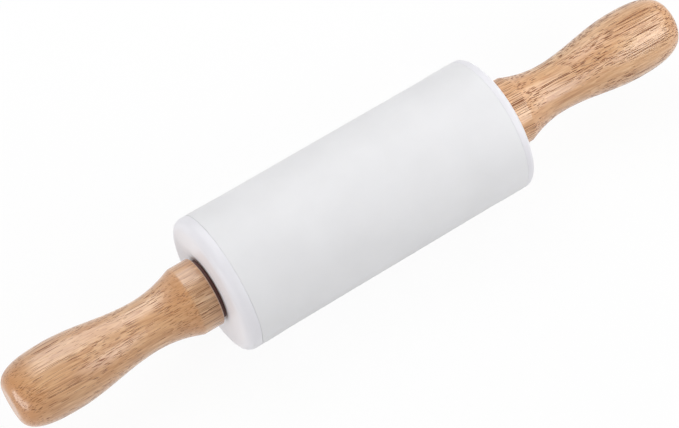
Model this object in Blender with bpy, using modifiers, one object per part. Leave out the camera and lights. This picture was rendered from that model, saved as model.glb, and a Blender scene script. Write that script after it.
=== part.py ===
# Silicone rolling pin: a roller with a silicone sleeve that turns on a steel axle between two
# turned wooden handles. The pin lies along X, on its roller, with the floor at Z = 0.

from math import cos, pi, radians, sin

import bmesh
import bpy
from mathutils import Matrix

MM = 0.001

# Driving dimensions, in millimetres

ROLLER_DIAMETER = 43.0
ROLLER_LENGTH = 100.0
SLEEVE_WALL = 3.0
SLEEVE_EDGE = 0.4
CORE_WALL = 2.0

LEFT_RIM_WIDTH = 4.4
LEFT_RIM_ROUNDING = 2.6
RIGHT_RIM_WIDTH = 2.8
RIGHT_RIM_ROUNDING = 1.6
CAP_SKIRT_WALL = 1.9
CAP_PLATE = 2.0
CAP_SPIGOT_LENGTH = 14.0
CAP_SPIGOT_WALL = 2.0
CAP_HUB_LENGTH = 12.0
CAP_HUB_WALL = 2.2
CAP_RIBS = 6
CAP_RIB_WALL = 1.6
CAP_RIB_LENGTH = 10.0

AXLE_DIAMETER = 6.0
AXLE_THREAD_DIAMETER = 5.0
AXLE_THREAD_LENGTH = 21.0
AXLE_CHAMFER = 0.8

BUSH_WALL = 1.5
BUSH_FLANGE_WIDTH = 1.8
BUSH_FLANGE = 1.2

WASHER_DIAMETER = 19.6
WASHER_THICKNESS = 0.7

INSERT_WALL = 1.3
INSERT_LENGTH = 12.0
INSERT_BARBS = 3
INSERT_BARB = 0.4
INSERT_FLANGE_WIDTH = 1.2
INSERT_FLANGE = 1.0
PILOT_HOLE_EXTRA = 3.0
DRILL_POINT = radians(59)

HANDLE_LENGTH = 63.7
COLLAR_DIAMETER = 21.4
COLLAR_WIDTH = 6.5
COLLAR_CHAMFER = 0.5
WAIST_DIAMETER = 15.8
WAIST_FROM_COLLAR = 13.6
SWELL_DIAMETER = 21.7
SWELL_FROM_END = 15.7
END_FLAT_DIAMETER = 8.0
END_FULLNESS = 2.65

# Clearances, in millimetres

SEAT_GAP = 0.3
RUNNING_GAP = 0.3

# Facets round a full turn, and points along each curve of a profile

ROLLER_STEPS = 64
HANDLE_STEPS = 40
INNER_STEPS = 32
SMALL_STEPS = 24
RIM_POINTS = 5
END_POINTS = 9
SWELL_POINTS = 9
NECK_POINTS = 6
SMOOTH_ANGLE = radians(32)
MERGE = 0.00001

# Sizes that follow from the driving ones. Distances along the pin start at the roller's end face.

ROLLER_RADIUS = ROLLER_DIAMETER / 2
HALF_ROLLER = ROLLER_LENGTH / 2
SLEEVE_INNER = ROLLER_RADIUS - SLEEVE_WALL
CORE_OUTER = SLEEVE_INNER - SEAT_GAP
CORE_INNER = CORE_OUTER - CORE_WALL
SPIGOT_OUTER = CORE_INNER - SEAT_GAP
SPIGOT_INNER = SPIGOT_OUTER - CAP_SPIGOT_WALL
SKIRT_INNER = ROLLER_RADIUS - CAP_SKIRT_WALL
AXLE_RADIUS = AXLE_DIAMETER / 2
THREAD_RADIUS = AXLE_THREAD_DIAMETER / 2
BUSH_BORE = AXLE_RADIUS + RUNNING_GAP
BUSH_OUTER = BUSH_BORE + BUSH_WALL
BUSH_FLANGE_RADIUS = BUSH_OUTER + BUSH_FLANGE_WIDTH
HUB_BORE = BUSH_OUTER + SEAT_GAP
HUB_OUTER = HUB_BORE + CAP_HUB_WALL
WASHER_RADIUS = WASHER_DIAMETER / 2
HANDLE_GAP = WASHER_THICKNESS + 2 * SEAT_GAP
INSERT_BORE = THREAD_RADIUS + SEAT_GAP
INSERT_BODY = INSERT_BORE + INSERT_WALL
INSERT_FLANGE_RADIUS = INSERT_BODY + INSERT_FLANGE_WIDTH
COLLAR_RADIUS = COLLAR_DIAMETER / 2
WAIST_RADIUS = WAIST_DIAMETER / 2
SWELL_RADIUS = SWELL_DIAMETER / 2
END_FLAT_RADIUS = END_FLAT_DIAMETER / 2
AXIS_HEIGHT = ROLLER_RADIUS


def clear_scene():
    for old in list(bpy.data.objects):
        bpy.data.objects.remove(old)


def new_collection(name):
    made = bpy.data.collections.new(name)
    bpy.context.scene.collection.children.link(made)
    return made


def new_material(name, colour, roughness, metallic=0.0):
    made = bpy.data.materials.new(name)
    made.use_nodes = True
    shader = made.node_tree.nodes["Principled BSDF"]
    shader.inputs["Base Color"].default_value = (*colour, 1.0)
    shader.inputs["Roughness"].default_value = roughness
    shader.inputs["Metallic"].default_value = metallic
    return made


def apply_modifiers(thing):
    # Swaps the object's mesh for the one that its modifiers make.
    graph = bpy.context.evaluated_depsgraph_get()
    finished = bpy.data.meshes.new_from_object(thing.evaluated_get(graph))
    finished.name = thing.name
    thing.modifiers.clear()
    thing.data = finished


def shade_round(thing):
    thing.data.shade_smooth()
    thing.data.set_sharp_from_angle(angle=SMOOTH_ANGLE)


def turned(name, profile, steps, collection, closed=True):
    # Turns a profile of (radius, height) points round Z. It runs down the outer side. A closed
    # profile makes a ring, and an open one starts and ends on the axis. The facets lie outside
    # the true circle, so that the size across the flats is the size named above.
    widen = MM / cos(pi / steps)
    mesh = bpy.data.meshes.new(name)
    points = [(radius * widen, 0.0, height * MM) for radius, height in profile]
    edges = [(i, i + 1) for i in range(len(points) - 1)]
    if closed:
        edges.append((len(points) - 1, 0))
    mesh.from_pydata(points, edges, [])
    thing = bpy.data.objects.new(name, mesh)
    collection.objects.link(thing)
    screw = thing.modifiers.new("turn", "SCREW")
    screw.steps = steps
    screw.render_steps = steps
    screw.use_merge_vertices = True
    screw.merge_threshold = MERGE
    apply_modifiers(thing)
    return thing


def arc(centre_radius, centre_height, size, start, end, count):
    # Points on a round edge, from one angle to another, measured from straight outwards.
    points = []
    for i in range(count):
        angle = start + (end - start) * i / (count - 1)
        points.append((centre_radius + size * cos(angle), centre_height + size * sin(angle)))
    return points


def new_pivot(name, collection):
    # An empty on the pin's axis. Its Z runs along the pin, and half a facet's turn about that
    # axis lays a flat of the roller on the floor.
    pivot = bpy.data.objects.new(name, None)
    collection.objects.link(pivot)
    pivot.rotation_mode = "ZYX"
    pivot.rotation_euler = (0.0, pi / 2, pi / ROLLER_STEPS)
    pivot.location = (0.0, 0.0, AXIS_HEIGHT * MM)
    return pivot


def place(thing, pivot, material, side=1, distance=0.0):
    # Sets a piece on the axis. A piece of the left end is turned round to face the other way.
    thing.data.materials.clear()
    thing.data.materials.append(material)
    shade_round(thing)
    thing.parent = pivot
    thing.location = (0.0, 0.0, side * distance * MM)
    if side < 0:
        thing.rotation_euler = (pi, 0.0, 0.0)


def place_pair(thing, name, pivot, material, distance, collection):
    # The right piece of a pair, and its copy at the left end on the same mesh.
    place(thing, pivot, material, 1, distance)
    thing.name = name + "_right"
    twin = bpy.data.objects.new(name + "_left", thing.data)
    collection.objects.link(twin)
    place(twin, pivot, material, -1, distance)


def make_sleeve(collection):
    # The silicone skin, between the two caps' skirts, with its outer edges eased.
    right = HALF_ROLLER - RIGHT_RIM_WIDTH - SEAT_GAP / 2
    left = LEFT_RIM_WIDTH + SEAT_GAP / 2 - HALF_ROLLER
    profile = [
        (ROLLER_RADIUS - SLEEVE_EDGE, right),
        (ROLLER_RADIUS, right - SLEEVE_EDGE),
        (ROLLER_RADIUS, left + SLEEVE_EDGE),
        (ROLLER_RADIUS - SLEEVE_EDGE, left),
        (SLEEVE_INNER, left),
        (SLEEVE_INNER, right),
    ]
    return turned("silicone_sleeve", profile, ROLLER_STEPS, collection)


def make_core_tube(collection):
    # The stiff tube under the sleeve. Its ends stand in the caps' channels, against the plates.
    end = HALF_ROLLER - CAP_PLATE - SEAT_GAP
    profile = [(CORE_OUTER, end), (CORE_OUTER, -end), (CORE_INNER, -end), (CORE_INNER, end)]
    return turned("core_tube", profile, ROLLER_STEPS, collection)


def make_ribs(name, collection):
    # The webs that tie a cap's hub to its spigot, sunk into both and into the plate.
    inner = HUB_OUTER - CAP_HUB_WALL / 2
    outer = SPIGOT_INNER + CAP_SPIGOT_WALL / 2
    top = -CAP_PLATE / 2
    bottom = -CAP_RIB_LENGTH
    form = bmesh.new()
    for i in range(CAP_RIBS):
        size = Matrix.Diagonal(((outer - inner) * MM, CAP_RIB_WALL * MM, (top - bottom) * MM, 1.0))
        middle = Matrix.Translation(((outer + inner) / 2 * MM, 0.0, (top + bottom) / 2 * MM))
        turn = Matrix.Rotation(2 * pi * i / CAP_RIBS, 4, "Z")
        bmesh.ops.create_cube(form, size=1.0, matrix=turn @ middle @ size)
    mesh = bpy.data.meshes.new(name)
    form.to_mesh(mesh)
    form.free()
    ribs = bpy.data.objects.new(name, mesh)
    ribs.hide_render = True
    ribs.display_type = "WIRE"
    collection.objects.link(ribs)
    return ribs


def make_end_cap(name, rim_width, rim_rounding, collection, cutters):
    # A moulded cap: a plate with a rounded rim, a skirt that meets the sleeve, a spigot in the
    # core tube, and a ribbed hub that holds the bush. Height 0 is the outer face.
    seam = SEAT_GAP / 2 - rim_width
    under = -CAP_PLATE
    rim_centre = ROLLER_RADIUS - rim_rounding
    lead = CAP_SPIGOT_WALL / 2
    profile = [(HUB_BORE, 0.0)]
    profile += arc(rim_centre, -rim_rounding, rim_rounding, pi / 2, 0.0, RIM_POINTS)
    profile += [
        (ROLLER_RADIUS, seam),
        (SKIRT_INNER, seam),
        (SKIRT_INNER, under),
        (SPIGOT_OUTER, under),
        (SPIGOT_OUTER, lead - CAP_SPIGOT_LENGTH),
        (SPIGOT_OUTER - lead / 2, -CAP_SPIGOT_LENGTH),
        (SPIGOT_INNER, -CAP_SPIGOT_LENGTH),
        (SPIGOT_INNER, under),
        (HUB_OUTER, under),
        (HUB_OUTER, -CAP_HUB_LENGTH),
        (HUB_BORE, -CAP_HUB_LENGTH),
    ]
    cap = turned(name, profile, ROLLER_STEPS, collection)
    union = cap.modifiers.new("ribs", "BOOLEAN")
    union.operation = "UNION"
    union.object = make_ribs(name + "_ribs", cutters)
    apply_modifiers(cap)
    return cap


def make_bush(collection):
    # A flanged bush, pushed into the hub from inside until its flange meets the hub's end.
    shoulder = -CAP_HUB_LENGTH - SEAT_GAP
    profile = [
        (BUSH_OUTER, -SEAT_GAP),
        (BUSH_OUTER, shoulder),
        (BUSH_FLANGE_RADIUS, shoulder),
        (BUSH_FLANGE_RADIUS, shoulder - BUSH_FLANGE),
        (BUSH_BORE, shoulder - BUSH_FLANGE),
        (BUSH_BORE, -SEAT_GAP),
    ]
    return turned("bush", profile, INNER_STEPS, collection)


def make_axle(collection):
    # One rod through the whole pin. Its shoulders meet the inserts, and its thinner ends are
    # the threads that hold the handles.
    shoulder = HALF_ROLLER + HANDLE_GAP - SEAT_GAP
    end = shoulder + AXLE_THREAD_LENGTH
    upper = [
        (THREAD_RADIUS - AXLE_CHAMFER, end),
        (THREAD_RADIUS, end - AXLE_CHAMFER),
        (THREAD_RADIUS, shoulder),
        (AXLE_RADIUS, shoulder),
    ]
    lower = [(radius, -height) for radius, height in reversed(upper)]
    profile = [(0.0, end)] + upper + lower + [(0.0, -end)]
    return turned("axle_rod", profile, SMALL_STEPS, collection, closed=False)


def make_thrust_washer(collection):
    # A wide ring of dark fibre that keeps the handle's collar off the cap, and shows between
    # them as a dark line. Height 0 is its inner side.
    profile = [
        (WASHER_RADIUS, WASHER_THICKNESS),
        (WASHER_RADIUS, 0.0),
        (BUSH_BORE, 0.0),
        (BUSH_BORE, WASHER_THICKNESS),
    ]
    return turned("thrust_washer", profile, INNER_STEPS, collection)


def make_threaded_insert(collection):
    # A brass insert with a flange and a row of barbs. Height 0 is the handle's inner face.
    pitch = (INSERT_LENGTH - INSERT_FLANGE) / INSERT_BARBS
    root = INSERT_BODY - INSERT_BARB
    profile = [(INSERT_BORE, INSERT_LENGTH)]
    for i in range(INSERT_BARBS):
        top = INSERT_LENGTH - i * pitch
        profile.append((root, top))
        profile.append((INSERT_BODY, top - pitch + INSERT_BARB))
    profile += [
        (INSERT_BODY, INSERT_FLANGE),
        (INSERT_FLANGE_RADIUS, INSERT_FLANGE),
        (INSERT_FLANGE_RADIUS, 0.0),
        (INSERT_BORE, 0.0),
    ]
    return turned("threaded_insert", profile, SMALL_STEPS, collection)


def handle_outline():
    # The turned outline, from the flat on the rounded end down to the face beside the roller:
    # a superellipse, a half cosine wave into the waist, and a parabola up to the collar's edge.
    swell_at = HANDLE_LENGTH - SWELL_FROM_END
    waist_at = COLLAR_WIDTH + WAIST_FROM_COLLAR
    points = []
    for i in range(END_POINTS):
        angle = pi / 2 * (1 - i / END_POINTS)
        across = cos(angle) ** (2 / END_FULLNESS)
        along = sin(angle) ** (2 / END_FULLNESS)
        radius = END_FLAT_RADIUS + (SWELL_RADIUS - END_FLAT_RADIUS) * across
        points.append((radius, swell_at + SWELL_FROM_END * along))
    for i in range(SWELL_POINTS):
        share = i / SWELL_POINTS
        radius = WAIST_RADIUS + (SWELL_RADIUS - WAIST_RADIUS) * (1 + cos(pi * share)) / 2
        points.append((radius, swell_at + (waist_at - swell_at) * share))
    for i in range(NECK_POINTS):
        share = i / NECK_POINTS
        radius = WAIST_RADIUS + (COLLAR_RADIUS - WAIST_RADIUS) * share**2
        points.append((radius, waist_at - WAIST_FROM_COLLAR * share))
    points += [
        (COLLAR_RADIUS, COLLAR_WIDTH),
        (COLLAR_RADIUS, COLLAR_CHAMFER),
        (COLLAR_RADIUS - COLLAR_CHAMFER, 0.0),
    ]
    return points


def make_handle(collection):
    # The wood is bored from its inner face for the insert's flange, its body and the rod's end.
    pilot_end = AXLE_THREAD_LENGTH + PILOT_HOLE_EXTRA
    bore_end = INSERT_LENGTH + SEAT_GAP
    flange_end = INSERT_FLANGE + SEAT_GAP
    drill_tip = pilot_end + INSERT_BORE * cos(DRILL_POINT) / sin(DRILL_POINT)
    bored = [
        (INSERT_FLANGE_RADIUS + SEAT_GAP, 0.0),
        (INSERT_FLANGE_RADIUS + SEAT_GAP, flange_end),
        (INSERT_BODY + SEAT_GAP, flange_end),
        (INSERT_BODY + SEAT_GAP, bore_end),
        (INSERT_BORE, bore_end),
        (INSERT_BORE, pilot_end),
        (0.0, drill_tip),
    ]
    profile = [(0.0, HANDLE_LENGTH)] + handle_outline() + bored
    return turned("handle", profile, HANDLE_STEPS, collection, closed=False)


def main():
    clear_scene()
    parts = new_collection("silicone_rolling_pin")
    cutters = new_collection("cutters")
    silicone = new_material("white_silicone", (0.87, 0.87, 0.88), 0.55)
    cap_plastic = new_material("white_cap_plastic", (0.84, 0.84, 0.87), 0.4)
    core_plastic = new_material("natural_core_plastic", (0.72, 0.72, 0.7), 0.5)
    nylon = new_material("natural_nylon", (0.8, 0.78, 0.7), 0.4)
    steel = new_material("bright_steel", (0.62, 0.62, 0.63), 0.3, 1.0)
    brass = new_material("brass", (0.72, 0.53, 0.24), 0.35, 1.0)
    fibre = new_material("red_brown_fibre", (0.1, 0.035, 0.03), 0.6)
    wood = new_material("lacquered_rubberwood", (0.66, 0.42, 0.22), 0.3)

    roller = new_pivot("roller_pivot", parts)
    handles = new_pivot("handles_pivot", parts)
    handle_face = HALF_ROLLER + HANDLE_GAP

    place(make_sleeve(parts), roller, silicone)
    place(make_core_tube(parts), roller, core_plastic)
    left_rim = (LEFT_RIM_WIDTH, LEFT_RIM_ROUNDING)
    left_cap = make_end_cap("end_cap_left", *left_rim, parts, cutters)
    place(left_cap, roller, cap_plastic, -1, HALF_ROLLER)
    right_rim = (RIGHT_RIM_WIDTH, RIGHT_RIM_ROUNDING)
    right_cap = make_end_cap("end_cap_right", *right_rim, parts, cutters)
    place(right_cap, roller, cap_plastic, 1, HALF_ROLLER)
    place_pair(make_bush(parts), "bush", roller, nylon, HALF_ROLLER, parts)

    place(make_axle(parts), handles, steel)
    washer = make_thrust_washer(parts)
    place_pair(washer, "thrust_washer", handles, fibre, HALF_ROLLER + SEAT_GAP, parts)
    insert = make_threaded_insert(parts)
    place_pair(insert, "threaded_insert", handles, brass, handle_face, parts)
    place_pair(make_handle(parts), "handle", handles, wood, handle_face, parts)


main()
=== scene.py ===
# %% [markdown]
# # A silicone rolling pin
#
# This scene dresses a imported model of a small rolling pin: a white silicone roller between two
# turned wooden handles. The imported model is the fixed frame. Its hidden pieces, such as the steel
# axle, stay and get finishes, and the pieces that show are modelled again here with more detail,
# in the place of the ones that they stand for.

from math import cos, pi, radians, sin

import bpy
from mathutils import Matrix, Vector


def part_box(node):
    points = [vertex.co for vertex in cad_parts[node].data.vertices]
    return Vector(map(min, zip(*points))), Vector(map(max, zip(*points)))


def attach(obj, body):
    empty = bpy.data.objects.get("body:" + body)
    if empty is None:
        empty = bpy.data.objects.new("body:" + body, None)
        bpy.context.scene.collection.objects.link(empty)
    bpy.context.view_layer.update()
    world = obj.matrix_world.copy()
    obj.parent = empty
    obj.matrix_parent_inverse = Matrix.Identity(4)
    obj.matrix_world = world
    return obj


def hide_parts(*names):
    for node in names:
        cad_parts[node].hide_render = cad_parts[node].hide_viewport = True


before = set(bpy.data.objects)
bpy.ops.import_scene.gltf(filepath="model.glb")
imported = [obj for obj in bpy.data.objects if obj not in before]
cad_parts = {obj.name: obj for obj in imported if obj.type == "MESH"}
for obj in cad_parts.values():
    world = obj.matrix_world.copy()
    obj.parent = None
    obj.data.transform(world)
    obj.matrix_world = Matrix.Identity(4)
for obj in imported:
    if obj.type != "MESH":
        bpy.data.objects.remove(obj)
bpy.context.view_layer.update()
print("pieces in the frame:", sorted(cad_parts))

# %% [markdown]
# Everything on this pin is turned round one axis, which lies along X at the roller's own radius
# above the floor. The pieces in the frame already hold most sizes, so they are measured instead
# of being typed in a second time.

# %% Measure the frame
MM = 0.001


def span(node):
    """Ends along X and the radius of a turned node, in metres."""
    low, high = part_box(node)
    return low.x, high.x, (high.y - low.y) / 2


_, _, ROLLER_RADIUS = span("silicone_sleeve")
CAP_BACK, CAP_FACE, _ = span("end_cap_right")
HANDLE_START, HANDLE_END, _ = span("handle_right")
AXIS_HEIGHT = ROLLER_RADIUS
print("roller radius", ROLLER_RADIUS, "cap face at", CAP_FACE, "handle ends at", HANDLE_END)

# %% [markdown]
# Each new piece is built with the same tools as by hand: a primitive is added, and in edit mode
# it is extruded, scaled, inset or spun. Nothing may be selected when a primitive is added, because
# an operator acts on all that is selected. At the end the doubled points of a seam are merged, and
# only then are the faces turned outwards, because that needs a closed mesh.

# %% Helpers for modelling
RING_POINTS = 160
SMOOTH_ANGLE = radians(30)
WELD = 1e-6


def deselect_all():
    bpy.ops.object.select_all(action="DESELECT")


def finish_mesh(name):
    """Closes the seams, turns all faces outwards, and puts the place into the mesh."""
    bpy.ops.mesh.select_all(action="SELECT")
    bpy.ops.mesh.remove_doubles(threshold=WELD)
    bpy.ops.mesh.normals_make_consistent(inside=False)
    bpy.ops.object.mode_set(mode="OBJECT")
    piece = bpy.context.object
    piece.name = name
    piece.data.name = name
    bpy.ops.object.transform_apply(location=True, rotation=True, scale=True)
    bpy.ops.object.shade_smooth_by_angle(angle=SMOOTH_ANGLE)
    print(name, len(piece.data.vertices), "points")
    return piece


# %% [markdown]
# ## The handles
#
# A turner starts from a square blank and cuts one outline: a straight collar, a waist for the
# fingers, a swell for the palm and a rounded end. The outline could be drawn and spun, but rings
# that are extruded and scaled along the axis give the same form and an even mesh. Three curves
# make it: a parabola from the collar into the waist, half a cosine wave out to the swell, and a
# superellipse round the end, which leaves a small flat.

# %% The turned outline
COLLAR_RADIUS = 10.7 * MM
COLLAR_WIDTH = 6.5 * MM
COLLAR_ROUND = 0.5 * MM
RIDGE_ROUND = 0.25 * MM
RIDGE_DROP = 0.1 * RIDGE_ROUND
WAIST_RADIUS = 7.9 * MM
WAIST_FROM_COLLAR = 13.6 * MM
SWELL_RADIUS = 10.85 * MM
SWELL_FROM_END = 15.7 * MM
END_FLAT_RADIUS = 4.0 * MM
END_FULLNESS = 2.65
COLLAR_STEPS = 6
NECK_STEPS = 18
GRIP_STEPS = 28
END_STEPS = 24


def handle_outline():
    """(distance from the collar's face, radius) pairs from the collar to the end flat."""
    length = HANDLE_END - HANDLE_START
    waist_at = COLLAR_WIDTH + WAIST_FROM_COLLAR
    swell_at = length - SWELL_FROM_END
    outline = []
    for i in range(COLLAR_STEPS + 1):
        turn = pi / 2 * i / COLLAR_STEPS
        radius = COLLAR_RADIUS - COLLAR_ROUND * (1 - sin(turn))
        outline.append((COLLAR_ROUND * (1 - cos(turn)), radius))
    outline.append((COLLAR_WIDTH - RIDGE_ROUND, COLLAR_RADIUS))
    outline.append((COLLAR_WIDTH, COLLAR_RADIUS - RIDGE_DROP))
    for i in range(1, NECK_STEPS + 1):
        share = 1 - i / NECK_STEPS
        radius = WAIST_RADIUS + (COLLAR_RADIUS - WAIST_RADIUS) * share**2
        outline.append((waist_at - WAIST_FROM_COLLAR * share, radius))
    for i in range(1, GRIP_STEPS + 1):
        share = i / GRIP_STEPS
        radius = WAIST_RADIUS + (SWELL_RADIUS - WAIST_RADIUS) * (1 - cos(pi * share)) / 2
        outline.append((waist_at + (swell_at - waist_at) * share, radius))
    for i in range(1, END_STEPS + 1):
        turn = pi / 2 * i / END_STEPS
        along = sin(turn) ** (2 / END_FULLNESS)
        across = max(cos(turn), 0.0) ** (2 / END_FULLNESS)
        radius = END_FLAT_RADIUS + (SWELL_RADIUS - END_FLAT_RADIUS) * across
        outline.append((swell_at + SWELL_FROM_END * along, radius))
    return outline


print("outline of", len(handle_outline()), "points")

# %% [markdown]
# The collar's face has a stepped hole for the brass insert, its flange and the rod. It is part of
# the same row of rings, so the handle starts at the bottom of its hole and ends at the end flat.

# %% Turn the handles
# The hole as (depth, radius), from its bottom outwards.
HANDLE_BORE = [
    (24.0 * MM, 2.8 * MM),
    (12.3 * MM, 2.8 * MM),
    (12.3 * MM, 4.4 * MM),
    (1.3 * MM, 4.4 * MM),
    (1.3 * MM, 5.6 * MM),
    (0.0, 5.6 * MM),
]


def turn_handle(name, side):
    """Rings are extruded along the axis, one for each point of the hole and the outline."""
    deselect_all()
    outline = HANDLE_BORE + handle_outline()
    start, first_radius = outline[0]
    bpy.ops.mesh.primitive_circle_add(
        vertices=RING_POINTS,
        radius=first_radius,
        fill_type="NGON",
        location=(side * (HANDLE_START + start), 0.0, AXIS_HEIGHT),
        rotation=(0.0, pi / 2, 0.0),
        enter_editmode=True,
    )
    bpy.ops.mesh.select_all(action="SELECT")
    for (before, old_radius), (along, radius) in zip(outline, outline[1:]):
        step = Vector((side * (along - before), 0.0, 0.0))
        bpy.ops.mesh.extrude_edges_move(TRANSFORM_OT_translate={"value": step})
        if radius != old_radius:
            scale = radius / old_radius
            place = (side * (HANDLE_START + along), 0.0, AXIS_HEIGHT)
            bpy.ops.transform.resize(value=(1.0, scale, scale), center_override=place)
    bpy.ops.mesh.edge_face_add()
    return finish_mesh(name)


handles = []
for side_name, side in (("left", -1), ("right", 1)):
    handle = turn_handle(f"turned_handle_{side_name}", side)
    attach(handle, "handles")
    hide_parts(f"handle_{side_name}")
    handles.append(handle)

# %% [markdown]
# ## The roller
#
# Skin and caps have one section all round. Drawing half of such a section and spinning it is the
# quickest way to the piece. The section starts as one point, and each extrude adds the next.

# %% Draw and spin a section
def spin_section(name, section, side):
    """Spins a closed section of (x from the cap's face, radius) points round the axis."""
    deselect_all()
    places = [Vector((side * (CAP_FACE + x), 0.0, AXIS_HEIGHT + r)) for x, r in section]
    bpy.ops.mesh.primitive_plane_add(size=MM, location=places[0], enter_editmode=True)
    bpy.ops.mesh.merge(type="CENTER")
    for before, after in zip(places, places[1:] + places[:1]):
        move = {"value": after - before}
        bpy.ops.mesh.extrude_vertices_move(TRANSFORM_OT_translate=move)
    bpy.ops.mesh.select_all(action="SELECT")
    bpy.ops.mesh.remove_doubles(threshold=WELD)
    bpy.ops.mesh.spin(
        steps=RING_POINTS,
        angle=2 * pi,
        center=(0.0, 0.0, AXIS_HEIGHT),
        axis=(1.0, 0.0, 0.0),
    )
    return finish_mesh(name)


def rounded(x, r, size, start, end, count):
    """Points of a rounded corner about (x, r), with angles measured from straight outwards."""
    turns = [start + (end - start) * i / (count - 1) for i in range(count)]
    return [(x + size * sin(turn), r + size * cos(turn)) for turn in turns]


# %% [markdown]
# The silicone skin is a thick tube that meets each cap in a fine joint. In the photo it is a hair
# wider at both ends, as if the caps stretched it there. The right cap's rim is the narrower one.

# %% The silicone skin
SLEEVE_WALL = 3.0 * MM
SEAM = {"left": 0.04 * MM, "right": 0.01 * MM}
RIM_WIDTH = {"left": 4.4 * MM, "right": 2.8 * MM}
SKIN_EDGE = 0.06 * MM
EDGE_POINTS = 6
FLARE = 0.13 * MM
FLARE_FROM_END = 3.5 * MM
FLARE_LENGTH = 8.5 * MM
FLARE_STEPS = 12


def skin_section():
    """The skin's half section, from its right end to its left end, on the right cap's scale."""
    right = -RIM_WIDTH["right"] - SEAM["right"] / 2
    left = -2 * CAP_FACE + RIM_WIDTH["left"] + SEAM["left"] / 2
    edge = ROLLER_RADIUS - SKIN_EDGE
    flare = []
    for i in range(FLARE_STEPS + 1):
        share = i / FLARE_STEPS
        along = FLARE_FROM_END + FLARE_LENGTH * share
        flare.append((along, ROLLER_RADIUS - FLARE * (1 - cos(pi * share)) / 2))
    section = [(right, ROLLER_RADIUS - SLEEVE_WALL)]
    section += rounded(right - SKIN_EDGE, edge, SKIN_EDGE, pi / 2, 0.0, EDGE_POINTS)
    section += [(right - along, radius) for along, radius in flare]
    section += [(left + along, radius) for along, radius in reversed(flare)]
    section += rounded(left + SKIN_EDGE, edge, SKIN_EDGE, 0.0, -pi / 2, EDGE_POINTS)
    section += [(left, ROLLER_RADIUS - SLEEVE_WALL)]
    return section


skin = spin_section("silicone_skin", skin_section(), 1)

# %% [markdown]
# The photo shows the left joint as a fine line that fades out towards the top, as if the skin's
# end was cut a little out of square. So that end is turned by a hair. Without a window,
# transform.rotate turns the other way and ignores the pivot setting, so it is given its centre,
# and what moved is measured.

# %% Cut the skin's left end out of square
SEAM_CHANGE = 0.032 * MM
END_REACH = 1.5 * SKIN_EDGE


def tilt_left_end(piece, change):
    """Moves the left end's top outwards and its bottom inwards by so much."""
    end = min(point.co.x for point in piece.data.vertices)
    deselect_all()
    bpy.context.view_layer.objects.active = piece
    bpy.ops.object.mode_set(mode="EDIT")
    bpy.ops.mesh.select_mode(type="VERT")
    bpy.ops.mesh.select_all(action="DESELECT")
    bpy.ops.object.mode_set(mode="OBJECT")
    for point in piece.data.vertices:
        point.select = point.co.x < end + END_REACH
    bpy.ops.object.mode_set(mode="EDIT")
    bpy.ops.transform.rotate(
        value=change / ROLLER_RADIUS,
        orient_axis="Y",
        center_override=(end + SKIN_EDGE, 0.0, AXIS_HEIGHT),
    )
    bpy.ops.object.mode_set(mode="OBJECT")
    top = min(point.co.x for point in piece.data.vertices if point.co.z > AXIS_HEIGHT)
    bottom = min(point.co.x for point in piece.data.vertices if point.co.z < AXIS_HEIGHT)
    print("left end's upper half reaches out by", top - end, "and the lower half by", bottom - end)


tilt_left_end(skin, SEAM_CHANGE)
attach(skin, "roller")
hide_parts("silicone_sleeve")

# %% [markdown]
# ## The end caps
#
# A moulded cap has a rounded rim, a skirt that meets the skin, a spigot inside the core tube and a
# hub for the bush. It is spun from its section too. Webs between hub and spigot are blocks that a
# Boolean joins on.

# %% The cap's section
RIM_ROUND = {"left": 3.0 * MM, "right": 1.6 * MM}
LIP_ROUND = {"left": 0.18 * MM, "right": 0.06 * MM}
RIM_POINTS = 14
PLATE = 2.0 * MM
SKIRT_WALL = 1.9 * MM
SPIGOT_WALL = 2.0 * MM
SPIGOT_OUTER = 15.9 * MM
HUB_BORE = 5.1 * MM
HUB_OUTER = 7.3 * MM
HUB_LENGTH = 12.0 * MM
BORE_LIP = 0.25 * MM


def cap_section(side_name):
    """The cap's half section, from the bore over the face, the rim and the skirt to the hub."""
    rim = RIM_ROUND[side_name]
    lip = LIP_ROUND[side_name]
    seam = -RIM_WIDTH[side_name] + SEAM[side_name] / 2
    back = CAP_BACK - CAP_FACE
    section = [(-BORE_LIP, HUB_BORE), (0.0, HUB_BORE + BORE_LIP)]
    section += rounded(-rim, ROLLER_RADIUS - rim, rim, pi / 2, 0.0, RIM_POINTS)
    section += rounded(seam + lip, ROLLER_RADIUS - lip, lip, 0.0, -pi / 2, EDGE_POINTS)
    section += [
        (seam, ROLLER_RADIUS - SKIRT_WALL),
        (-PLATE, ROLLER_RADIUS - SKIRT_WALL),
        (-PLATE, SPIGOT_OUTER),
        (back, SPIGOT_OUTER),
        (back, SPIGOT_OUTER - SPIGOT_WALL),
        (-PLATE, SPIGOT_OUTER - SPIGOT_WALL),
        (-PLATE, HUB_OUTER),
        (-HUB_LENGTH, HUB_OUTER),
        (-HUB_LENGTH, HUB_BORE),
    ]
    return section


# %% Join the webs and finish the caps
RIBS = 6
RIB_WALL = 1.6 * MM
RIB_LENGTH = 10.0 * MM


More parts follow.
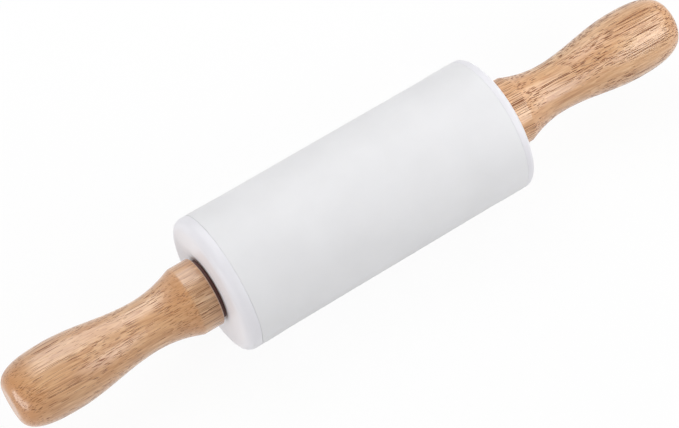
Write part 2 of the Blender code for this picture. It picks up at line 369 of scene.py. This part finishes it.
def join_ribs(cap, side):
    """Adds the webs between hub and spigot, sunk into both, with one Boolean for each."""
    inner = (HUB_BORE + HUB_OUTER) / 2
    outer = SPIGOT_OUTER - SPIGOT_WALL / 2
    away = (inner + outer) / 2
    depth = RIB_LENGTH - PLATE / 2
    middle = side * (CAP_FACE - PLATE / 2 - depth / 2)
    deselect_all()
    for i in range(RIBS):
        turn = 2 * pi * i / RIBS
        bpy.ops.mesh.primitive_cube_add(
            size=1.0,
            location=(middle, away * sin(turn), AXIS_HEIGHT + away * cos(turn)),
            rotation=(-turn, 0.0, 0.0),
            scale=(depth, RIB_WALL, outer - inner),
        )
        rib = bpy.context.object
        union = cap.modifiers.new("rib", "BOOLEAN")
        union.operation = "UNION"
        union.object = rib
        bpy.context.view_layer.objects.active = cap
        bpy.ops.object.modifier_apply(modifier=union.name)
        bpy.data.objects.remove(rib)
    cap.select_set(True)
    bpy.ops.object.shade_smooth_by_angle(angle=SMOOTH_ANGLE)
    print(cap.name, "has", RIBS, "webs and", len(cap.data.vertices), "points")


caps = []
for side_name, side in (("left", -1), ("right", 1)):
    cap = spin_section(f"moulded_cap_{side_name}", cap_section(side_name), side)
    join_ribs(cap, side)
    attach(cap, "roller")
    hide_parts(f"end_cap_{side_name}")
    caps.append(cap)

# %% [markdown]
# ## The washers, in painted gap shade
#
# A washer nearly fills the gap between each cap and handle. Its dark brown is painted shade: it
# stands in for the deep shadow in the gap, and shows as a thin dark crescent beside the collar.
# It is a short tube: a cylinder whose two end faces are inset, and a bridge between the two inner
# faces opens the bore. The inset works on faces, which are selected in code by their normal. A
# Bevel modifier then rounds the sharp edges.

# %% The washers
WASHER_RADIUS = 9.4 * MM
WASHER_BORE = 3.3 * MM
WASHER_GAP = 0.1 * MM
WASHER_EDGE = 0.15 * MM
EDGE_SEGMENTS = 4
SHARP_ANGLE = radians(50)
END_FACE_NORMAL = 0.9


def select_end_faces():
    """In edit mode, selects only the faces that look along the new cylinder's own axis."""
    bpy.ops.mesh.select_mode(type="FACE")
    bpy.ops.mesh.select_all(action="DESELECT")
    bpy.ops.object.mode_set(mode="OBJECT")
    for face in bpy.context.object.data.polygons:
        face.select = abs(face.normal.z) > END_FACE_NORMAL
    bpy.ops.object.mode_set(mode="EDIT")


def model_washer(name, middle, length):
    deselect_all()
    bpy.ops.mesh.primitive_cylinder_add(
        vertices=RING_POINTS,
        radius=WASHER_RADIUS,
        depth=length,
        location=(middle, 0.0, AXIS_HEIGHT),
        rotation=(0.0, pi / 2, 0.0),
        enter_editmode=True,
    )
    select_end_faces()
    bpy.ops.mesh.inset(thickness=WASHER_RADIUS - WASHER_BORE, use_individual=True)
    bpy.ops.mesh.bridge_edge_loops()
    bpy.ops.mesh.select_mode(type="VERT")
    washer = finish_mesh(name)
    bevel = washer.modifiers.new("rounded edges", "BEVEL")
    bevel.width = WASHER_EDGE
    bevel.segments = EDGE_SEGMENTS
    bevel.limit_method = "ANGLE"
    bevel.angle_limit = SHARP_ANGLE
    bpy.context.view_layer.objects.active = washer
    bpy.ops.object.modifier_apply(modifier=bevel.name)
    return washer


# Each washer's dark colour is painted shade for the shadow in the gap beside the collar.
washer_length = HANDLE_START - CAP_FACE - 2 * WASHER_GAP
washer_middle = (HANDLE_START + CAP_FACE) / 2
washers = []
for side_name, side in (("left", -1), ("right", 1)):
    washer = model_washer(f"gap_shade_washer_{side_name}", side * washer_middle, washer_length)
    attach(washer, "handles")
    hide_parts(f"thrust_washer_{side_name}")
    washers.append(washer)

# %% [markdown]
# ## Finishes
#
# Each finish is a small node tree on Object coordinates, so the pattern is fixed in the piece like
# the grain in real wood. These helpers add nodes and join them.

# %% Helpers for node trees
class Tree:
    """A material and its nodes."""

    def __init__(self, name):
        self.material = bpy.data.materials.new(name)
        self.material.use_nodes = True
        self.nodes = self.material.node_tree.nodes
        self.links = self.material.node_tree.links
        self.shader = self.nodes["Principled BSDF"]

    def set(self, **values):
        for name, value in values.items():
            self.shader.inputs[name.replace("_", " ")].default_value = value

    def link(self, source, target):
        self.links.new(source, target)

    def feed(self, socket, value):
        """Joins another node's output to the socket, or sets a plain value."""
        if isinstance(value, bpy.types.NodeSocket):
            self.links.new(value, socket)
        else:
            socket.default_value = value

    def add(self, kind, inputs=None, **settings):
        node = self.nodes.new(kind)
        for name, value in settings.items():
            setattr(node, name, value)
        for name, value in (inputs or {}).items():
            self.feed(node.inputs[name], value)
        return node

    def place(self, scale=(1.0, 1.0, 1.0), offset=(0.0, 0.0, 0.0), turn=(0.0, 0.0, 0.0)):
        """Object coordinates, moved, turned and stretched."""
        where = self.add("ShaderNodeTexCoord").outputs["Object"]
        inputs = {"Vector": where, "Scale": scale, "Location": offset, "Rotation": turn}
        return self.add("ShaderNodeMapping", inputs).outputs["Vector"]

    def noise(self, where, scale, detail=2.0, rough=0.5):
        inputs = {"Vector": where, "Scale": scale, "Detail": detail, "Roughness": rough}
        return self.add("ShaderNodeTexNoise", inputs)

    def ramp(self, value, low, high, start=0.0, end=1.0):
        """Maps low to high onto start to end, and holds the ends."""
        inputs = {"Value": value, "From Min": low, "From Max": high, "To Min": start, "To Max": end}
        return self.add("ShaderNodeMapRange", inputs).outputs["Result"]

    def math(self, operation, a, b=0.0):
        return self.add("ShaderNodeMath", {0: a, 1: b}, operation=operation).outputs[0]

    def mix(self, share, a, b, blend="MIX"):
        """Mixes two colours. The Mix node's sockets 0, 6 and 7 are the share and the colours."""
        node = self.add("ShaderNodeMix", data_type="RGBA", blend_type=blend)
        for socket, value in ((0, share), (6, a), (7, b)):
            self.feed(node.inputs[socket], value)
        return node.outputs[2]

    def bump(self, height, distance, strength):
        inputs = {"Height": height, "Distance": distance, "Strength": strength}
        node = self.add("ShaderNodeBump", inputs)
        self.links.new(node.outputs["Normal"], self.shader.inputs["Normal"])
        return node


def colour(red, green, blue):
    """A colour written as on a screen, from 0 to 255, as linear light."""
    def linear(value):
        value /= 255
        return value / 12.92 if value <= 0.04045 else ((value + 0.055) / 1.055) ** 2.4
    return (linear(red), linear(green), linear(blue), 1.0)


WHITE = (1.0, 1.0, 1.0, 1.0)
# A noise's values gather about the middle of 0 to 1, so only one of these parts is spread out.
NOISE_RANGE = (0.35, 0.65)
WIDE_RANGE = (0.3, 0.7)

# %% [markdown]
# ### Lacquered wood
#
# The wood is pale and open-pored. Its pores are long tubes along the grain. Where the turner cuts
# along them they show as dark dashes, and where the outline slopes they are cut across and show as
# dots. So the pores are made as tubes in the solid: a Voronoi pattern across the grain, which
# wanders slowly along it. Object coordinates then give dashes and dots in the right places by
# themselves. Growth rings shift the tone in soft bands, and short fibres break it up.

# %% The grain's coordinates
# Features per millimetre of each pattern, along and across the grain.
DRIFT = (0.025, 0.1)
RINGS = (0.012, 0.2)
COARSE = (0.05, 0.7)
FIBRE = (0.12, 1.7)
CLOUD = (0.04, 0.13)
# Pores and fibres are deeper than wide, so in depth a pattern has only this share of its features.
FLATNESS = 0.35


def stretch(tree, grain, pattern, flatness=1.0):
    """The grain's coordinates for a pattern with so many features per millimetre."""
    along, across = pattern
    scale = (along, across, across * flatness)
    return tree.add("ShaderNodeMapping", {"Vector": grain, "Scale": scale}).outputs["Vector"]


def wandering_grain(tree, offset, tilt, wander):
    """Object coordinates in millimetres, tilted a little, that drift sideways along the grain."""
    per_mm = 1 / MM
    grain = tree.place(scale=(per_mm, per_mm, per_mm), offset=offset, turn=tilt)
    drift = tree.noise(stretch(tree, grain, DRIFT), 1.0).outputs["Color"]
    inputs = {0: drift, 1: (0.5, 0.5, 0.5)}
    centred = tree.add("ShaderNodeVectorMath", inputs, operation="SUBTRACT").outputs[0]
    inputs = {0: centred, 1: (0.0, wander, wander)}
    push = tree.add("ShaderNodeVectorMath", inputs, operation="MULTIPLY").outputs[0]
    return tree.add("ShaderNodeVectorMath", {0: grain, 1: push}, operation="ADD").outputs[0]


# %% Pores
# Each pore's row of dashes starts elsewhere in the noise, up to so far away.
ROW_SPREAD = 90.0
# Where a row's noise plus its growth band passes these, a pore starts to open and is open.
PORE_STARTS = 0.98
PORE_OPEN = 1.06
# How softly a pore's edge begins and ends, in the pattern's own units.
PORE_EDGE = (-0.03, 0.04)


def pore_layer(tree, grain, bands, per_mm, radius, dash, openness):
    """Dark tubes of one size. Each is deeper than wide, and has its own row of dashes."""
    along = tree.add("ShaderNodeSeparateXYZ", {0: grain})
    depth = tree.math("MULTIPLY", along.outputs["Z"], FLATNESS)
    inputs = {0: along.outputs["Y"], 1: depth, 2: 0.0}
    section = tree.add("ShaderNodeCombineXYZ", inputs).outputs[0]
    inputs = {"Vector": section, "Scale": per_mm, "Randomness": 1.0}
    cells = tree.add("ShaderNodeTexVoronoi", inputs, voronoi_dimensions="2D")
    own = tree.add("ShaderNodeSeparateColor", {0: cells.outputs["Color"]})
    inputs = {
        0: tree.math("MULTIPLY", along.outputs["X"], 1.0 / dash),
        1: tree.math("MULTIPLY", own.outputs[0], ROW_SPREAD),
        2: tree.math("MULTIPLY", own.outputs[1], ROW_SPREAD),
    }
    row = tree.add("ShaderNodeCombineXYZ", inputs).outputs[0]
    dashes = tree.noise(row, 1.0, detail=1.0).outputs["Fac"]
    opening = tree.math("ADD", dashes, bands)
    open_here = tree.ramp(opening, PORE_STARTS - openness, PORE_OPEN - openness)
    reach = tree.math("MULTIPLY", open_here, radius * per_mm)
    inside = tree.math("SUBTRACT", reach, cells.outputs["Distance"])
    return tree.ramp(inside, *PORE_EDGE)


# %% [markdown]
# The tone starts from two colours that follow the growth rings, and each further effect is laid
# over it: warm clouds, coarse and fine fibres, deeper colour where the grain ends in the surface
# (on the left handle partly painted shade), the pores, and a painted highlight along the collar's
# rounded edge. Lacquer is the shader's coat. It is thinner over the pores, and its own bump lets
# the highlight follow them.

# %% The wood's finish
WOOD_PORE = colour(112, 54, 6)
# A painted highlight colour, for the light that the collar's rounded edge catches.
COLLAR_EDGE_HIGHLIGHT = colour(238, 214, 190)
COARSE_SHADE = colour(240, 232, 222)
RING_SHARPNESS = 4.0
CLOUD_RANGE = (0.35, 0.7)
CLOUD_SHARE = 0.6
# How far the surface faces along the grain where the end colour begins and where it is full.
END_GRAIN = (0.06, 0.5)
EDGE_HIGHLIGHT_SHARE = 0.7
EDGE_HIGHLIGHT_FROM = 0.15 * MM
EDGE_HIGHLIGHT_TO = 0.5 * MM
FIBRE_RELIEF = 0.5
RELIEF = 0.05 * MM
RELIEF_STRENGTH = 0.6
# The coat's weight and the specular level, on plain wood and in a pore.
COAT = (1.0, 0.2)
SPECULAR = (0.5, 0.1)
LACQUER = {"Roughness": 0.45, "Coat_Roughness": 0.24, "Coat_IOR": 1.6}


def wood_material(name, look):
    tree = Tree(name)
    grain = wandering_grain(tree, look["offset"], look["tilt"], look["wander"])

    rings = tree.noise(stretch(tree, grain, RINGS), 1.0, detail=1.0).outputs["Fac"]
    bands = tree.ramp(rings, *NOISE_RANGE, 0.5 - look["banding"], 0.5 + look["banding"])
    fine = tree.math("MULTIPLY", pore_layer(tree, grain, bands, **look["fine"]), look["fine_depth"])
    bold = tree.math("MULTIPLY", pore_layer(tree, grain, bands, **look["bold"]), look["bold_depth"])
    pores = tree.math("MAXIMUM", fine, bold)

    coarse = tree.noise(stretch(tree, grain, COARSE, FLATNESS), 1.0, rough=0.6).outputs["Fac"]
    fibre = tree.noise(stretch(tree, grain, FIBRE, FLATNESS), 1.0, 1.0, rough=0.7).outputs["Fac"]
    cloud = tree.noise(stretch(tree, grain, CLOUD), 1.0).outputs["Fac"]
    year = tree.math("FRACT", tree.math("MULTIPLY", rings, look["years"]))
    tone = tree.mix(tree.math("POWER", year, RING_SHARPNESS), look["light"], look["dark"])
    tone = tree.mix(tree.ramp(cloud, *CLOUD_RANGE, 0.0, CLOUD_SHARE), tone, look["warm"])
    for streaks, shade in ((coarse, COARSE_SHADE), (fibre, look["shade"])):
        shade = tree.mix(tree.ramp(streaks, *NOISE_RANGE), shade, WHITE)
        tone = tree.mix(1.0, tone, shade, "MULTIPLY")

    normal = tree.add("ShaderNodeTexCoord").outputs["Normal"]
    facing = tree.add("ShaderNodeSeparateXYZ", {0: normal}).outputs["X"]
    end_grain = tree.ramp(tree.math("ABSOLUTE", facing), *END_GRAIN, 0.0, look["end_share"])
    tone = tree.mix(end_grain, tone, look["end"])
    tone = tree.mix(pores, tone, WOOD_PORE)

    # Painted highlight: a light band along the rounded edge of the collar's face, where the edge
    # catches the light.
    where = tree.add("ShaderNodeTexCoord").outputs["Object"]
    along = tree.math("ABSOLUTE", tree.add("ShaderNodeSeparateXYZ", {0: where}).outputs["X"])
    edge_highlight = tree.ramp(along, HANDLE_START + EDGE_HIGHLIGHT_FROM, HANDLE_START + EDGE_HIGHLIGHT_TO, EDGE_HIGHLIGHT_SHARE, 0.0)
    tone = tree.mix(edge_highlight, tone, COLLAR_EDGE_HIGHLIGHT)
    tree.link(tone, tree.shader.inputs["Base Color"])

    relief = tree.math("SUBTRACT", tree.math("MULTIPLY", fibre, FIBRE_RELIEF), pores)
    bump = tree.bump(relief, RELIEF, RELIEF_STRENGTH)
    tree.link(bump.outputs["Normal"], tree.shader.inputs["Coat Normal"])
    tree.link(tree.ramp(pores, 0.0, 1.0, *COAT), tree.shader.inputs["Coat Weight"])
    tree.link(tree.ramp(pores, 0.0, 1.0, *SPECULAR), tree.shader.inputs["Specular IOR Level"])
    tree.set(**LACQUER)
    return tree.material


# %% [markdown]
# The two handles come from different blanks. The left one is finer in its pores and calmer, and
# the right one has bolder, longer pores in stronger bands. "offset" picks the place in the
# pattern, and "tilt" is the angle between the grain and the handle.

# %% The two blanks
LEFT_WOOD = {
    "offset": (40.0, 31.0, 7.0),
    "tilt": (radians(-25), 0.02, 0.015),
    "wander": 1.3,
    "years": 9.0,
    "banding": 0.1,
    "fine": {"per_mm": 3.4, "radius": 0.055, "dash": 4.5, "openness": 0.06},
    "fine_depth": 0.75,
    "bold": {"per_mm": 2.2, "radius": 0.07, "dash": 5.0, "openness": -0.02},
    "bold_depth": 0.95,
    "light": colour(232, 188, 142),
    "dark": colour(204, 152, 102),
    "warm": colour(216, 161, 108),
    "shade": colour(226, 212, 192),
    # This end colour is partly the deeper tone of end grain and partly painted shade for the
    # rounded end's darker underside, and so is its higher share.
    "end": colour(194, 130, 66),
    "end_share": 0.85,
}
RIGHT_WOOD = {
    "offset": (-90.0, 12.0, 55.0),
    "tilt": (radians(-25), -0.035, 0.03),
    "wander": 2.0,
    "years": 9.0,
    "banding": 0.25,
    "fine": {"per_mm": 3.2, "radius": 0.06, "dash": 3.0, "openness": 0.05},
    "fine_depth": 0.75,
    "bold": {"per_mm": 2.7, "radius": 0.085, "dash": 5.0, "openness": 0.06},
    "bold_depth": 1.0,
    "light": colour(239, 196, 150),
    "dark": colour(211, 157, 105),
    "warm": colour(223, 167, 113),
    "shade": colour(224, 208, 186),
    "end": colour(217, 157, 103),
    "end_share": 0.65,
}
handles[0].data.materials.append(wood_material("lacquered_wood_left", LEFT_WOOD))
handles[1].data.materials.append(wood_material("lacquered_wood_right", RIGHT_WOOD))
print("wood finishes:", [handle.active_material.name for handle in handles])

# %% [markdown]
# ### Silicone and moulded plastic
#
# Silicone is soft to look at: it has a broad dull sheen, a fine matt grain from its mould, and
# light goes a little way into it. The caps are harder and smoother, and a touch cooler.

# %% Silicone and plastics
CLOUDS_PER_METRE = 55.0
CLOUD_DIM = 0.965
ROUGHNESS_SPREAD = 0.05
BUMP_STRENGTH = 0.5
LIGHT_DEPTH = 1.5 * MM
LIGHT_DEPTH_BY_COLOUR = (1.0, 0.95, 0.9)


def moulded_material(name, base, rough, grain_scale, grain_depth, soft=0.0, gloss=0.5):
    tree = Tree(name)
    where = tree.place()
    grain = tree.noise(where, grain_scale).outputs["Fac"]
    cloud = tree.noise(where, CLOUDS_PER_METRE, detail=3.0).outputs["Fac"]
    dim = tuple(value * CLOUD_DIM for value in base[:3]) + (1.0,)
    tone = tree.mix(tree.ramp(cloud, *NOISE_RANGE), base, dim)
    tree.link(tone, tree.shader.inputs["Base Color"])
    dull = tree.ramp(cloud, *WIDE_RANGE, rough - ROUGHNESS_SPREAD, rough + ROUGHNESS_SPREAD)
    tree.link(dull, tree.shader.inputs["Roughness"])
    tree.bump(grain, grain_depth, BUMP_STRENGTH)
    tree.set(Specular_IOR_Level=gloss)
    if soft:
        tree.set(
            Subsurface_Weight=soft,
            Subsurface_Radius=LIGHT_DEPTH_BY_COLOUR,
            Subsurface_Scale=LIGHT_DEPTH,
        )
    return tree.material


silicone = colour(243, 243, 245)
silicone_finish = moulded_material("white_silicone", silicone, 0.6, 2600.0, 0.02 * MM, 0.1, 0.3)
skin.data.materials.append(silicone_finish)
cap_white = colour(242, 241, 246)
cap_finish = moulded_material("white_cap_plastic", cap_white, 0.4, 1800.0, 0.01 * MM)
for cap in caps:
    cap.data.materials.append(cap_finish)
# The washers' dark brown is painted shade, standing in for the deep shadow in the gap beside each
# collar.
gap_shade_finish = moulded_material("painted_gap_shade", colour(92, 54, 48), 0.6, 4000.0, 0.03 * MM)
for washer in washers:
    washer.data.materials.append(gap_shade_finish)
print("moulded finishes:", silicone_finish.name, cap_finish.name, gap_shade_finish.name)

# %% [markdown]
# ### The hidden pieces
#
# The rod, the inserts, the bushes and the core tube come from the frame. They hardly show, but
# they are finished too: fine turning marks run round the metal, and the plastics are slightly
# cloudy. Only their materials change.

# %% Metals, nylon and the core
MARKS = (9000.0, 60.0, 60.0)
MARK_DEPTH = 0.005 * MM
SMOOTHER = 0.08
ROUGHER = 0.1


def turned_metal(name, base, rough):
    tree = Tree(name)
    marks = tree.noise(tree.place(scale=MARKS), 1.0).outputs["Fac"]
    dull = tree.ramp(marks, *WIDE_RANGE, rough - SMOOTHER, rough + ROUGHER)
    tree.link(dull, tree.shader.inputs["Roughness"])
    tree.bump(marks, MARK_DEPTH, BUMP_STRENGTH)
    tree.set(Base_Color=base, Metallic=1.0)
    return tree.material


def repaint(nodes, material):
    for node in nodes:
        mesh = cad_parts[node].data
        mesh.materials.clear()
        mesh.materials.append(material)
    print(material.name, "on", nodes)


steel = turned_metal("bright_steel", colour(205, 206, 208), 0.28)
brass = turned_metal("turned_brass", colour(214, 178, 104), 0.3)
nylon = moulded_material("natural_nylon", colour(226, 220, 204), 0.4, 1500.0, 0.01 * MM)
core = moulded_material("core_plastic", colour(214, 214, 210), 0.5, 900.0, 0.01 * MM)
repaint(["axle_rod"], steel)
repaint(["threaded_insert_left", "threaded_insert_right"], brass)
repaint(["bush_left", "bush_right"], nylon)
repaint(["core_tube"], core)

# %% [markdown]
# ## The stage
#
# The pin lies on a plain floor. The camera and reflections see it as white, with a faint shadow.
# To all other light it is a pale grey one, which throws some light back onto the pin's underside.

# %% The floor
FLOOR_SIZE = 6.0
SHADOW_SHARE = 0.07
PAPER_FOR_CAMERA = (0.97, 0.97, 0.97, 1.0)
PAPER_FOR_LIGHT = (0.65, 0.65, 0.65, 1.0)

deselect_all()
bpy.ops.mesh.primitive_plane_add(size=FLOOR_SIZE, location=(0.0, 0.0, 0.0))
floor = bpy.context.object
floor.name = "floor"
paper = Tree("white_floor")
paper.set(Roughness=0.9)
glow = paper.add("ShaderNodeEmission", {"Color": WHITE, "Strength": 1.0})
path = paper.add("ShaderNodeLightPath")
pale = paper.mix(path.outputs["Is Camera Ray"], PAPER_FOR_LIGHT, PAPER_FOR_CAMERA)
paper.link(pale, paper.shader.inputs["Base Color"])
seen = paper.math("MAXIMUM", path.outputs["Is Camera Ray"], path.outputs["Is Glossy Ray"])
seen = paper.math("MAXIMUM", seen, path.outputs["Is Transmission Ray"])
shine = paper.math("MULTIPLY", seen, 1.0 - SHADOW_SHARE)
inputs = {0: shine, 1: paper.shader.outputs[0], 2: glow.outputs[0]}
blend = paper.add("ShaderNodeMixShader", inputs)
paper.link(blend.outputs[0], paper.nodes["Material Output"].inputs["Surface"])
floor.data.materials.append(paper.material)
print("floor of", FLOOR_SIZE, "metres with", paper.material.name)

# %% [markdown]
# The highlights on the lacquer tell where the lamps stood. One softbox close behind the pin draws
# the long highlights, and one in front on the right lights the side that faces the camera. A
# weaker one above and behind and one high on the right even out the roller, and a low card on the
# left lights the left cap's face. Their powers were fitted to the brightness of the photo. The
# white room itself adds only a little.

# %% The lamps
def soft_lamp(name, place, size, power):
    """A rectangular lamp of so many watts that faces the middle of the pin."""
    data = bpy.data.lights.new(name, "AREA")
    data.shape = "RECTANGLE"
    data.size, data.size_y = size
    data.energy = power
    lamp = bpy.data.objects.new(name, data)
    bpy.context.scene.collection.objects.link(lamp)
    lamp.location = place
    aim = Vector((0.0, 0.0, AXIS_HEIGHT)) - Vector(place)
    lamp.rotation_euler = aim.to_track_quat("-Z", "Y").to_euler()
    print(name, "at", place, "with", power, "W")


soft_lamp("softbox_behind", (0.01, 0.3, 0.32), (0.28, 0.46), 0.94)
soft_lamp("softbox_in_front", (0.38, -0.44, 0.37), (0.5, 0.5), 2.5)
soft_lamp("softbox_above", (0.0, 0.3, 0.7), (0.5, 0.5), 0.65)
soft_lamp("card_left", (-0.6, -0.1, 0.14), (0.6, 0.25), 2.2)
soft_lamp("softbox_right", (0.5, 0.0, 0.55), (0.5, 0.5), 1.5)

# %% [markdown]
# The room is white where the camera looks at it, directly or in a reflection or through glass. To
# all other light it is nearly dark, so that the lamps shape the pin.

# %% The room
ROOM_LIGHT = 0.03

world = bpy.data.worlds.new("white_room")
world.use_nodes = True
bpy.context.scene.world = world
room_nodes = world.node_tree.nodes
room_links = world.node_tree.links
background = room_nodes["Background"]
background.inputs["Color"].default_value = WHITE
ray = room_nodes.new("ShaderNodeLightPath")
seen_room = ray.outputs["Is Camera Ray"]
for kind in ("Is Glossy Ray", "Is Transmission Ray"):
    either = room_nodes.new("ShaderNodeMath")
    either.operation = "MAXIMUM"
    room_links.new(seen_room, either.inputs[0])
    room_links.new(ray.outputs[kind], either.inputs[1])
    seen_room = either.outputs[0]
strength = room_nodes.new("ShaderNodeMapRange")
strength.inputs["To Min"].default_value = ROOM_LIGHT
strength.inputs["To Max"].default_value = 1.0
room_links.new(seen_room, strength.inputs["Value"])
room_links.new(strength.outputs["Result"], background.inputs["Strength"])
print("the room's own light", ROOM_LIGHT)

# %% [markdown]
# ## The camera
#
# The camera looks from above and from the left handle's side, through a long lens. Its place and
# its lens were fitted to the pin's outline in the photo.

# %% The camera
CAMERA_PLACE = Vector((-0.1794, -0.2605, 0.5900))
CAMERA_TARGET = Vector((-0.0051, 0.0, 0.0203))
LENS = 118.15
SENSOR_WIDTH = 36.0

camera = bpy.data.objects.new("camera", bpy.data.cameras.new("camera"))
bpy.context.scene.collection.objects.link(camera)
camera.data.lens = LENS
camera.data.sensor_width = SENSOR_WIDTH
camera.location = CAMERA_PLACE
camera.rotation_euler = (CAMERA_TARGET - CAMERA_PLACE).to_track_quat("-Z", "Y").to_euler()
bpy.context.scene.camera = camera
bpy.context.scene.view_settings.view_transform = "Standard"
print("camera", (CAMERA_TARGET - CAMERA_PLACE).length, "metres away")
